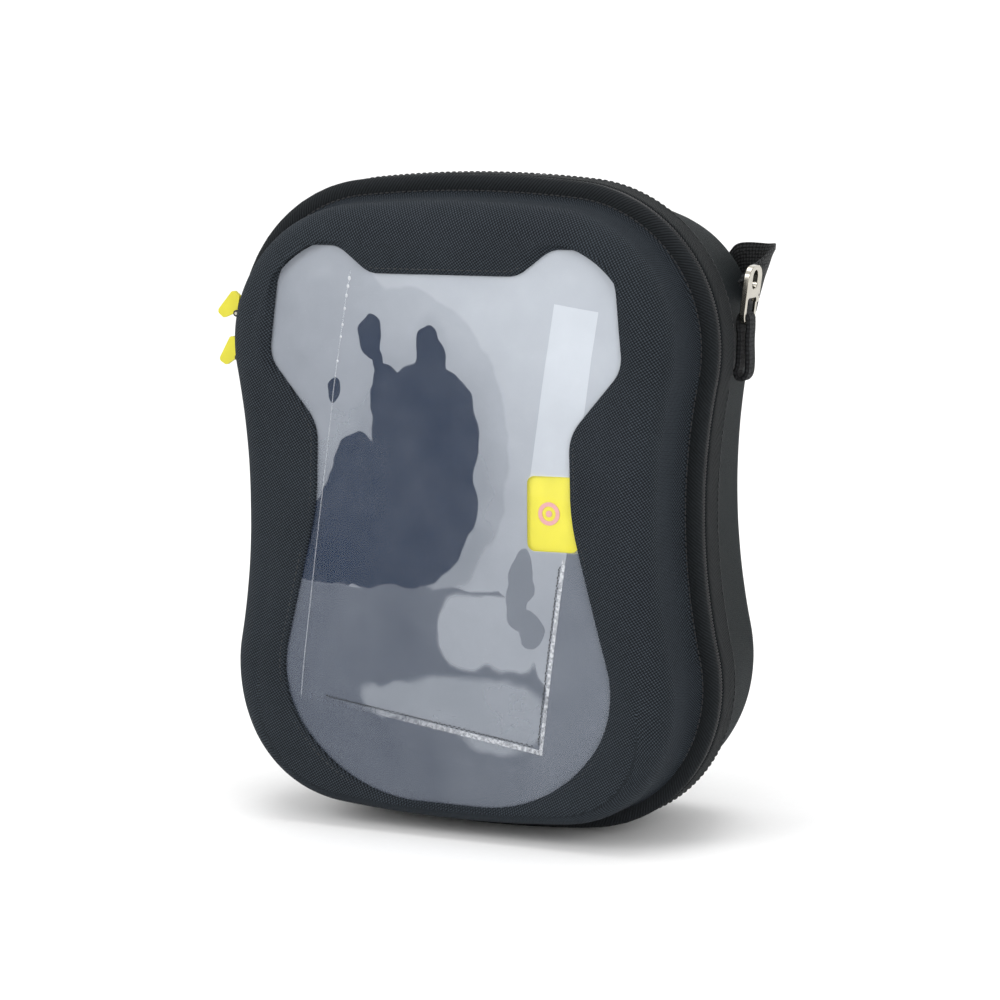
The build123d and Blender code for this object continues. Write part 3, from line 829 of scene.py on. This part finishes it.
# ---- rear shell ----
def rear_rows(skin, y_rim):
    """Rows from the rim to the middle of the back, 'skin' inside the rear shell."""
    at_rim = outline(RIM, REAR_STEP + skin)[0]
    at_back = outline(REAR_BACK, skin)[0]
    depth, rounding = REAR_DEPTH - skin, REAR_ROUND - skin
    run = depth - REAR_BINDING_DEPTH
    rows = [space(at_rim, y_rim), space(at_rim, REAR_BINDING_DEPTH)]
    if not skin:
        lip = outline(RIM, 1.35)[0]
        rows = [space(lip, y_rim), space(lip, REAR_BINDING_DEPTH - 0.5),
                space(outline(RIM, 2.2)[0], REAR_BINDING_DEPTH + 0.1),
                space(at_rim, REAR_BINDING_DEPTH + 1.2)]
    straight = 1 - rounding / run
    for step in range(1, 9):
        share = straight * step / 8
        rows.append(space(at_rim + (at_back - at_rim) * share, REAR_BINDING_DEPTH + run * share))
    for step in range(1, 11):
        angle = math.pi / 2 * step / 10
        share = 1 - rounding / run * (1 - math.sin(angle))
        tucked = outline(REAR_BACK, skin + rounding * (1 - math.cos(angle)))[0]
        plan = at_rim + (at_back - at_rim) * share + tucked - at_back
        rows.append(space(plan, depth - rounding + rounding * math.sin(angle)))
    edge = rows[-1][:, [0, 2]]
    middle = np.array([0.0, (REAR_BACK[0] + REAR_BACK[1]) / 2])
    for share in (0.93, 0.82, 0.66, 0.48, 0.3, 0.12, 0.02):
        rows.append(space(middle + (edge - middle) * share, depth))
    return rows


def bowl_uvs(rows):
    """Texture places for rows of the rear shell, spread out from the middle of its back."""
    uvs = []
    for row in rows:
        away = row[:, [0, 2]] - BACK_MIDDLE
        reach = np.maximum(60.0, np.linalg.norm(away, axis=1))
        stretch = 1 + np.maximum(0.0, REAR_DEPTH - row[:, 1]) / reach
        uvs.append(flat_uv(away * stretch[:, None]))
    return uvs


def make_rear_shell():
    outer = rear_rows(0.0, 1.6)
    for row in outer[4:]:
        row[:, 1] += 0.2 * ripple(row, 5) - 0.2
    rows = outer[::-1] + rear_rows(SKIN, 1.6)
    shell = grid("rear_shell_cloth", rows, bowl_uvs(rows), REAR_CLOTH, cap=True)
    hand_over(shell, "rear_half", "rear_cloth", "rear_shell")


# ---- linings and zip tapes ----
def lining_puff(row, seed):
    """How far the loosely glued lining stands off the shell, mm."""
    return np.maximum(0.0, 0.3 + 0.3 * ripple(row, seed, ((70.0, 0.8), (33.0, 0.6), (15.0, 0.4))))


def make_front_lining():
    """Two layers of rows: down the wall, round the shoulder and over the face to the window."""
    window = window_grown(10.0)
    least_reach = 0.8
    layers = []
    for off in (0.15, 0.9):
        rows = [space(shrunk(WALL_INSET + SKIN + off), -y) for y in (1.8, 5.0, 9.0)]
        rounding = INNER_ROUND - off
        # near the bottom, where the window's film reaches over it, the lining runs behind the film
        behind = off + 0.95 * np.clip((45.0 - shrunk(20.5)[:, 1]) / 20.0, 0.0, 1.0)
        for step in range(6):
            angle = math.pi / 2 * step / 5
            plan = shrunk(WALL_INSET + SKIN + off + rounding * (1 - math.cos(angle)))
            rows.append(on_face(plan, SKIN + behind + rounding * (1 - math.sin(angle))))
        edge = rows[-1][:, [0, 2]]
        inward = shrunk(30.0) - shrunk(20.0)
        inward /= np.linalg.norm(inward, axis=1)[:, None]
        reach = np.sum((window - edge) * inward, axis=1)
        goal = np.where((reach < least_reach)[:, None], edge + least_reach * inward, window)
        for share in (0.2, 0.4, 0.6, 0.8, 1.0):
            row = on_face(edge + (goal - edge) * share, SKIN + behind)
            row[:, 1] += lining_puff(row, 31) * (share < 1.0) * 0.5
            rows.append(row)
        layers.append(rows)
    rows = layers[0] + layers[1][::-1]
    lining = grid("front_lining_cloth", rows, flat_uvs(rows), LINING, loop_rows=True)
    hand_over(lining, "front_half", "lining", "front_lining")


def make_rear_lining():
    layers = []
    for skin in (SKIN + 0.2, SKIN + 0.95):
        rows = rear_rows(skin, 1.8)
        for i, row in enumerate(rows[2:]):
            puff = lining_puff(row, 33)
            if i < 8:
                toward = BACK_MIDDLE - row[:, [0, 2]]
                toward /= np.linalg.norm(toward, axis=1)[:, None]
                row += space(toward, 0.0) * puff[:, None]
            elif i >= 16:
                row[:, 1] -= puff
        layers.append(rows)
    rows = layers[0][::-1] + layers[1]
    lining = grid("rear_lining_cloth", rows, bowl_uvs(rows), LINING, cap=True)
    hand_over(lining, "rear_half", "lining", "rear_lining")


def make_zip_tape(name, y_sign, node, body):
    """Twill tape behind the coil, open across the cloth hinge, with a soft free edge."""
    plan, normal = outline(RIM)
    middles, outs = space(plan, 0.0), space(normal, 0.0)
    gap = by_hinge(plan)
    first = next(i for i in range(AROUND) if gap[i - 1] and not gap[i])
    run = [(first + j) % AROUND for j in range(AROUND) if not gap[(first + j) % AROUND]]
    lengths = closed_lengths(plan)
    profile = [(3.6, 1.42), (6.0, 1.42), (9.0, 1.42), (12.0, 1.4), (13.3, 1.35), (13.5, 1.1), (13.3, 0.9),
               (12.0, 0.86), (9.0, 0.86), (6.0, 0.86), (3.6, 0.86)]
    rows, uvs = [], []
    for i in run:
        soft = 0.12 * math.sin(lengths[i] / 6.3) + 0.08 * math.sin(lengths[i] / 2.9 + 1.0)
        row = []
        for inset, y in profile:
            free = max(0.0, (inset - 7.0) / 6.5)
            lift = y_sign * (y - 0.2 * free + soft * free)
            row.append(middles[i] - outs[i] * (inset + 0.3 * soft * free) + np.array([0.0, lift, 0.0]))
        rows.append(np.array(row))
        uvs.append(np.array([(lengths[i], inset) for inset, y in profile + profile[:1]]))
    tape = grid(name, rows, uvs, ZIP_TAPE, cap=True)
    hand_over(tape, body, "zip_tape", node)


# ---- window ----
def film_wave(points):
    """How far the slack film stands in or out, mm."""
    return (0.8 * ripple(points, 11, ((120.0, 1.0), (62.0, 0.6), (34.0, 0.25))) +
            0.12 * ripple(points, 12, ((17.0, 1.0), (11.0, 0.5))))


FILM_EDGE = window_grown(FILM_MARGIN)


def film_front(plan):
    """Points in space on the film's outer face, slack and wavy inside the window's edge."""
    inside = np.min(np.linalg.norm(plan[:, None] - FILM_EDGE[None], axis=2), axis=1) - FILM_MARGIN - 1.0
    slack = np.clip(inside / 16.0, 0.0, 1.0) ** 1.5
    return on_face(plan, FILM_SUNK - np.maximum(0.0, 0.9 + 0.7 * film_wave(plan)) * slack)


def make_film():
    thickness = 0.45
    middle = np.array([0.0, 152.0])
    shares = list(np.linspace(0.02, 0.9, 46)) + [0.94, 0.97, 1.0]
    front = [film_front(middle + (FILM_EDGE - middle) * share) for share in shares]
    back = [row + np.array([0.0, thickness, 0.0]) for row in front]
    rows = front + back[::-1]
    film = grid("window_film_sheet", rows, flat_uvs(rows), FILM, cap=True)
    ahead = np.roll(FILM_EDGE, -1, 0)
    area = 0.5 * abs(np.sum(FILM_EDGE[:, 0] * ahead[:, 1] - ahead[:, 0] * FILM_EDGE[:, 1]))
    size = (FILM_EDGE.max(0) - FILM_EDGE.min(0)) * MM
    hand_over(film, "front_half", "clear_film", "window_film")


# ---- document pocket ----
def pocket_place(a, b, sunk=None, proud=0.0):
    """Points of the document pocket: a across and b up from its middle, mm. They lie 'sunk'
    behind the face, or on the film and 'proud' of it."""
    cos, sin = math.cos(POCKET_TILT), math.sin(POCKET_TILT)
    plan = np.stack([a, b], 1) @ np.array([[cos, sin], [-sin, cos]]) + POCKET_CENTRE
    if sunk is None:
        return film_front(plan) - np.array([0.0, proud, 0.0])
    return on_face(plan, sunk)


def slab(name, a_values, b_values, material, thickness=0.3, sunk=None, wave=0.0, proud=0.0):
    """A thin closed sheet over a rectangle of the pocket's plane."""
    rows = []
    for b in b_values:
        front = pocket_place(a_values, np.full(len(a_values), b), sunk, proud)
        front[:, 1] += wave * ripple(front, 21)
        back = front + np.array([0.0, thickness, 0.0])
        rows.append(np.concatenate([front, back[::-1]]))
    return grid(name, rows, flat_uvs(rows), material, cap=True, sharp=35.0)


HALF_W, HALF_H = POCKET_SIZE[0] / 2, POCKET_SIZE[1] / 2


def make_pocket():
    sheet = slab("document_pocket_sheet", np.linspace(-HALF_W, HALF_W, 40), np.linspace(-HALF_H, HALF_H, 60),
                 POCKET_FILM, sunk=6.4, wave=0.35)
    hand_over(sheet, "front_half", "pocket_film", "document_pocket")
    hem = slab("pocket_edge_hem", np.linspace(2.0 - HALF_W, HALF_W - 2.0, 40),
               np.linspace(HALF_H - 6.0, HALF_H - 0.3, 5), POCKET_FILM, sunk=6.85, wave=0.35)
    hand_over(hem, "front_half", "pocket_edging", "pocket_edge")


def make_welds():
    """Borders welded to the film: a thin line on the left, broader at the bottom and on the
    right, with a row of thread beside the broad ones."""
    strips = {
        "pocket_weld_left": ((-HALF_W, -HALF_W + 0.5, 3), (-HALF_H, HALF_H, 40), CREASE),
        "pocket_weld_bottom": ((-HALF_W + 6, HALF_W, 24), (-HALF_H, -HALF_H + 2.4, 3), WELD),
        "pocket_weld_right": ((HALF_W - 1.8, HALF_W, 3), (-HALF_H, -10.0, 40), WELD),
    }
    for name, (across, up, material) in strips.items():
        strip = slab(name, np.linspace(*across), np.linspace(*up), material, thickness=0.35, proud=0.12)
        hand_over(strip, "front_half", "pocket_edging")
    zigzag = 0.35 * np.where(np.arange(90) % 2, 1.0, -1.0)
    runs = {
        "pocket_stitches_bottom": (np.linspace(-HALF_W + 14, HALF_W - 3.4, 90), -HALF_H + 3.3 + zigzag),
        "pocket_stitches_right": (HALF_W - 2.7 + zigzag, np.linspace(-HALF_H + 4.0, -12.0, 90)),
    }
    for name, (a, b) in runs.items():
        tops = np.tile([0.0, -1.0, 0.0], (90, 1))
        run = stitch_run(name, pocket_place(a, b), tops, length=1.3, pitch=1.55, rise=0.1)
        hand_over(run, "front_half", "pocket_edging")


def make_weld_spots():
    """Low domes where the weld at the top left was pressed, painted pale as highlights."""
    turns = 2 * math.pi * np.arange(10) / 10
    vertices, faces = [], []
    for i, down in enumerate((4.0, 8.0, 12.5, 19.0, 27.0, 33.0, 45.0)):
        radius = 0.9 - 0.05 * i
        centre = pocket_place(np.array([-HALF_W + 0.35]), np.array([HALF_H - down]))[0]
        rings = []
        for level, size in ((0.0, 1.0), (-0.25, 0.8), (-0.35, 0.35)):
            reach = radius * size
            rings.append([centre + np.array([reach * math.cos(turn), level, 1.3 * reach * math.sin(turn)])
                          for turn in turns])
        add_rod(vertices, faces, rings)
    spots = mesh_object("pocket_weld_spots", vertices, faces, SPOT_HIGHLIGHT_PAINT)
    hand_over(spots, "front_half", "pocket_edging")


# ---- stitches ----
def make_stitches():
    ahead = np.tile([0.0, -1.0, 0.0], (AROUND, 1))
    tape_edge, tape_normal = outline(RIM, 0.05)
    runs = [
        # name, body, line, directions in which the stitches stand up, their length, pitch and radius
        ("window_stitches", "front_half", on_face(window_grown(2.6), 1.35), ahead, 2.5, 3.3, 0.3),
        ("rim_stitches", "front_half", space(outline(RIM, 8.1)[0], -5.45), ahead, 2.4, 3.1, 0.4),
        ("rear_tape_stitches", "rear_half", space(tape_edge, 16.2), space(tape_normal, 0.0), 2.5, 3.3, 0.3),
    ]
    for name, body, line, tops, length, pitch, radius in runs:
        closed, closed_tops = (np.vstack([values, values[:1]]) for values in (line, tops))
        run = stitch_run(name, closed, closed_tops, length, pitch, radius)
        hand_over(run, body, "binding_tape")


# ---- zip ----
def make_coil(name, y_sign, node, body):
    """The coil's loops, each a bent rounded bar, along the rim outside the cloth hinge."""
    plan, normal = outline(RIM, 1.9)
    outs = space(normal, 0.0)
    alongs = np.cross(outs, [0.0, 1.0, 0.0])
    lengths = closed_lengths(plan)
    pitch = 1.55
    at = np.arange(0.0 if y_sign > 0 else pitch / 2, lengths[-1], pitch)
    nearest = np.searchsorted(lengths, at) % AROUND
    forward = np.array([0.0, y_sign, 0.0])
    section = [(-0.42, -0.5), (0.42, -0.5), (0.5, 0.0), (0.42, 0.5), (-0.42, 0.5), (-0.5, 0.0)]
    spine = [(-1.35, 0.75), (-0.6, 1.1), (0.5, 1.15), (1.1, 0.75), (1.25, 0.1)]
    vertices, faces = [], []
    for centre, i in zip(resample(plan, at), nearest):
        if by_hinge(centre):
            continue
        rings = []
        for outwards, y in spine:
            middle = np.array([centre[0], 0.0, centre[1]]) + forward * y + outs[i] * outwards
            rings.append([middle + alongs[i] * a + (forward + outs[i]) * d * 0.35 for a, d in section])
        add_rod(vertices, faces, rings)
    coil = mesh_object(name, vertices, faces, COIL)
    hand_over(coil, body, "zip_coil", node)


# ---- ribbons of webbing ----
def ribbon(name, centres, alongs, acrosses, widths, thickness, material, pleat=None):
    """A flat strap through centres, with rounded edges. pleat gives the height of soft folds
    across the strap at each station."""
    rows, uvs = [], []
    steps = 14
    travelled = 0.0
    for i, centre in enumerate(centres):
        if i:
            travelled += np.linalg.norm(centre - centres[i - 1])
        across = acrosses[i] / np.linalg.norm(acrosses[i])
        along = alongs[i] / np.linalg.norm(alongs[i])
        top = np.cross(along, across)
        top /= np.linalg.norm(top)
        half, thick = widths[i] / 2, thickness / 2
        row, uv = [], []
        fold = 0.0 if pleat is None else pleat[i]
        for side in (1, -1):
            for k in range(steps + 1):
                share = side * (1 - 2 * k / steps)
                past = max(0.0, (abs(share) * half - (half - thick)) / thick)
                edge = 1 - past**2 if half > thick else 1.0
                lift = side * thick * math.sqrt(max(0.02, edge))
                wave = fold * math.cos(share * 3.2 * math.pi)
                row.append(centre + across * share * half + top * (lift + wave))
                uv.append((travelled, share * half + 50.0))
        rows.append(np.array(row))
        uvs.append(np.array(uv + uv[:1]))
    return grid(name, rows, uvs, material, cap=True, sharp=60.0)


def smooth_path(stations, steps):
    """Catmull-Rom interpolation of rows of numbers."""
    points = np.array(stations, float)
    padded = np.vstack([2 * points[0] - points[1], points, 2 * points[-1] - points[-2]])
    out = []
    for i in range(1, len(padded) - 2):
        a, b, c, d = padded[i - 1:i + 3]
        for k in range(steps):
            t = k / steps
            bend, twist = 2 * a - 5 * b + 4 * c - d, 3 * b - a - 3 * c + d
            out.append(0.5 * (2 * b + (c - a) * t + bend * t**2 + twist * t**3))
    out.append(points[-1])
    return np.array(out)


STRAP_STATIONS = [
    # place, direction across, width, fold height
    ((129.4, 31.0, 270.5), (0, 0.87, -0.5), 9.0, 1.1),
    ((130.0, 38.0, 272.6), (-0.35, 0.5, -0.8), 18.0, 1.2),
    ((130.2, 50.0, 273.4), (-0.45, 0.2, -0.9), 30.0, 0.5),
    ((128.0, 62.0, 273.0), (-0.42, 0.1, -0.9), 35.0, 0.15),
    ((122.0, 74.5, 269.8), (-0.2, 0, -0.95), 37.0, 0.0),
    ((108.0, 85.5, 268.0), (0.1, 0, -0.98), 38.0, 0.0),
    ((103.6, 86.6, 262.0), (0.24, 0, -0.9), 38.0, 0.0),
    ((97.0, 88.25, 253.0), (0.45, 0, -0.79), 38.0, 0.0),
    ((90.4, 89.9, 244.0), (0.66, 0, -0.68), 38.0, 0.0),
    ((86.0, 91.0, 238.0), (0.8, 0, -0.6), 38.0, 0.0),
    ((64.5, 92.0, 178.0), (0.94, 0, -0.34), 38.0, 0.0),
    ((41.0, 92.0, 127.0), (0.77, 0, -0.64), 38.0, 0.0),
    ((0.0, 92.0, 106.0), (0, 0, -1.0), 38.0, 0.0),
]


def make_strap():
    """The strap from the right hook, down behind the case and up to the left hook."""
    right = [(*place, *across, width, fold) for place, across, width, fold in STRAP_STATIONS]
    left = [(-x, y, z, -a, b, c, width, fold) for x, y, z, a, b, c, width, fold in right[-2::-1]]
    path = smooth_path(right + left, 12)
    centres = path[:, :3]
    alongs = np.gradient(centres, axis=0)
    strap = ribbon("shoulder_strap_webbing", centres, alongs, path[:, 3:6], path[:, 6], 1.7, WEBBING,
                   pleat=path[:, 7])
    hand_over(strap, "rear_half", "webbing", "shoulder_strap")


def make_side_tab(sign, name):
    """A short loop of webbing sewn to the shell, with the hook's bar in its upper end."""
    loop = [(127.0, 228.0), (129.0, 232.0), (129.6, 238.0), (129.9, 246.0), (129.6, 253.0), (130.4, 256.4),
            (132.5, 257.5), (134.4, 255.9), (134.6, 251.0), (134.2, 244.0), (134.3, 234.0), (133.6, 228.4),
            (131.6, 226.0), (129.0, 226.4), (128.0, 229.0)]
    path = smooth_path(loop, 6)
    middle = (TAB_Y[0] + TAB_Y[1]) / 2
    centres = np.stack([sign * path[:, 0], np.full(len(path), middle), path[:, 1]], 1)
    alongs = np.gradient(centres, axis=0)
    acrosses = np.tile([0.0, 1.0, 0.0], (len(path), 1))
    widths = np.full(len(path), TAB_Y[1] - TAB_Y[0])
    tab = ribbon(name + "_webbing", centres, alongs, acrosses, widths, 2.4, WEBBING)
    hand_over(tab, "rear_half", "webbing", name)


def make_hinge_cloth():
    """The cloth that joins the two shells along the bottom edge."""
    xs = np.linspace(-HINGE_HALF, HINGE_HALF, 60)
    low_arc = outline(RIM, 0.5)[0]
    low = low_arc[low_arc[:, 1] < 20.0]
    low = low[np.argsort(low[:, 0])]
    zs = np.interp(xs, low[:, 0], low[:, 1])
    rows, uvs = [], []
    for y, drop in ((-1.45, 0.25), (-0.9, 0.0), (-0.3, -0.12), (0.3, -0.12), (0.9, 0.0), (1.45, 0.25)):
        outer = np.stack([xs, np.full(60, y), zs + drop], 1)
        inner = outer + np.array([0.0, 0.0, 0.9])
        rows.append(np.concatenate([outer, inner[::-1]]))
        uvs.append(np.stack([np.append(rows[-1][:, 0], rows[-1][0, 0]), np.full(121, y + 3)], 1))
    cloth = grid("hinge_cloth", rows, uvs, FRONT_TAPE, cap=True)
    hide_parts("hinge_strip")
    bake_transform(cloth)


# ---- CAD pieces that keep their shape ----
CAD_LOOKS = {
    # node: its material and the width of its rounded edges, mm
    "zip_end_stops": (DARK_METAL, 0), "slider_upper": (DARK_METAL, 0.3), "slider_lower": (DARK_METAL, 0.3),
    "slider_upper_pin": (CHROME, 0), "slider_lower_pin": (CHROME, 0),
    "slider_upper_tab": (YELLOW, 0.6), "slider_lower_tab": (YELLOW, 0.6),
    "hook_right": (CHROME, 0.35), "hook_left": (CHROME, 0.35),
    "hook_gate_right": (CHROME, 0.25), "hook_gate_left": (CHROME, 0.25),
    "gate_pin_right": (DARK_METAL, 0), "gate_pin_left": (DARK_METAL, 0),
    "strap_adjuster": (PLASTIC, 0.5), "window_tab": (YELLOW, 0.2), "tab_mark": (PINK, 0),
}


def dress_cad():
    """Gives the CAD pieces that stay their materials, and most of them rounded edges."""
    for name, (material, edge) in CAD_LOOKS.items():
        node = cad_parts[name]
        node.data.materials.clear()
        node.data.materials.append(material)
        node.data.polygons.foreach_set("use_smooth", [True] * len(node.data.polygons))
        if edge:
            soft = node.modifiers.new("rounded", "BEVEL")
            soft.width = edge * MM
            soft.segments = 2
            soft.limit_method = "ANGLE"
            soft.angle_limit = math.radians(40)


# ---- studio ----
def make_studio():
    """A pale floor that sweeps up behind, large soft lights and a white surround."""
    paper = Look("paper")
    grain = paper.noise(paper.place(), 300.0, 2.0)
    paper.finish(Base_Color=paper.mix(grain, (0.90, 0.90, 0.90), (0.93, 0.93, 0.93)), Roughness=0.9,
                 Specular_IOR_Level=0.1)
    # the paper's reach to each side, where its bend starts, the bend's radius and its top, m
    reach, bend_from, bend, top = 4.0, 1.2, 0.9, 3.5
    below_case = 0.6
    rows = []
    for x in (-reach, reach):
        line = [(-reach, 0.0), (bend_from, 0.0)]
        for step in range(1, 13):
            angle = math.pi / 2 * step / 12
            line.append((bend_from + bend * math.sin(angle), bend * (1 - math.cos(angle))))
        line.append((bend_from + bend, top))
        rows.append([(x / MM, y / MM, z / MM - below_case) for y, z in line])
    count = len(rows[0])
    faces = [(i, i + 1, count + i + 1, count + i) for i in range(count - 1)]
    sweep = mesh_object("paper_sweep", rows[0] + rows[1], faces, paper.material)
    world = bpy.data.worlds.new("studio")
    bpy.context.scene.world = world
    world.use_nodes = True
    world.node_tree.nodes["Background"].inputs["Color"].default_value = (1.0, 1.0, 1.0, 1.0)
    world.node_tree.nodes["Background"].inputs["Strength"].default_value = 0.85
    lights = [
        # name, place, aim, width, height, power
        ("key", (-1.3, -2.0, 1.5), (0, 0, 0.15), 1.4, 1.4, 28.0),
        ("fill", (1.9, -1.5, 1.0), (0, 0, 0.15), 1.2, 1.2, 18.0),
        ("top", (0.1, 0.1, 2.3), (0, 0, 0.0), 1.6, 1.6, 22.0),
    ]
    for name, place, aim, width, height, power in lights:
        data = bpy.data.lights.new(name, "AREA")
        data.shape = "RECTANGLE"
        data.size, data.size_y, data.energy = width, height, power
        light = add_object(name, data)
        light.location = place
        light.rotation_mode = "QUATERNION"
        light.rotation_quaternion = (Vector(aim) - Vector(place)).to_track_quat("-Z", "Y")


make_front_shell()
make_binding("front_binding_tape", FRONT_BINDING, FRONT_TAPE, "front_half", "front_binding", 7)
make_rear_shell()
make_binding("rear_binding_tape", REAR_BINDING, REAR_TAPE, "rear_half", "rear_binding", 9)
make_front_lining()
make_rear_lining()
make_zip_tape("zip_tape_front_twill", -1, "zip_tape_front", "front_half")
make_zip_tape("zip_tape_rear_twill", 1, "zip_tape_rear", "rear_half")
make_film()
make_pocket()
make_welds()
make_weld_spots()
make_stitches()
make_coil("zip_coil_front_loops", -1, "zip_coil_front", "front_half")
make_coil("zip_coil_rear_loops", 1, "zip_coil_rear", "rear_half")
make_strap()
make_side_tab(1, "side_tab_right")
make_side_tab(-1, "side_tab_left")
make_hinge_cloth()
dress_cad()
make_studio()
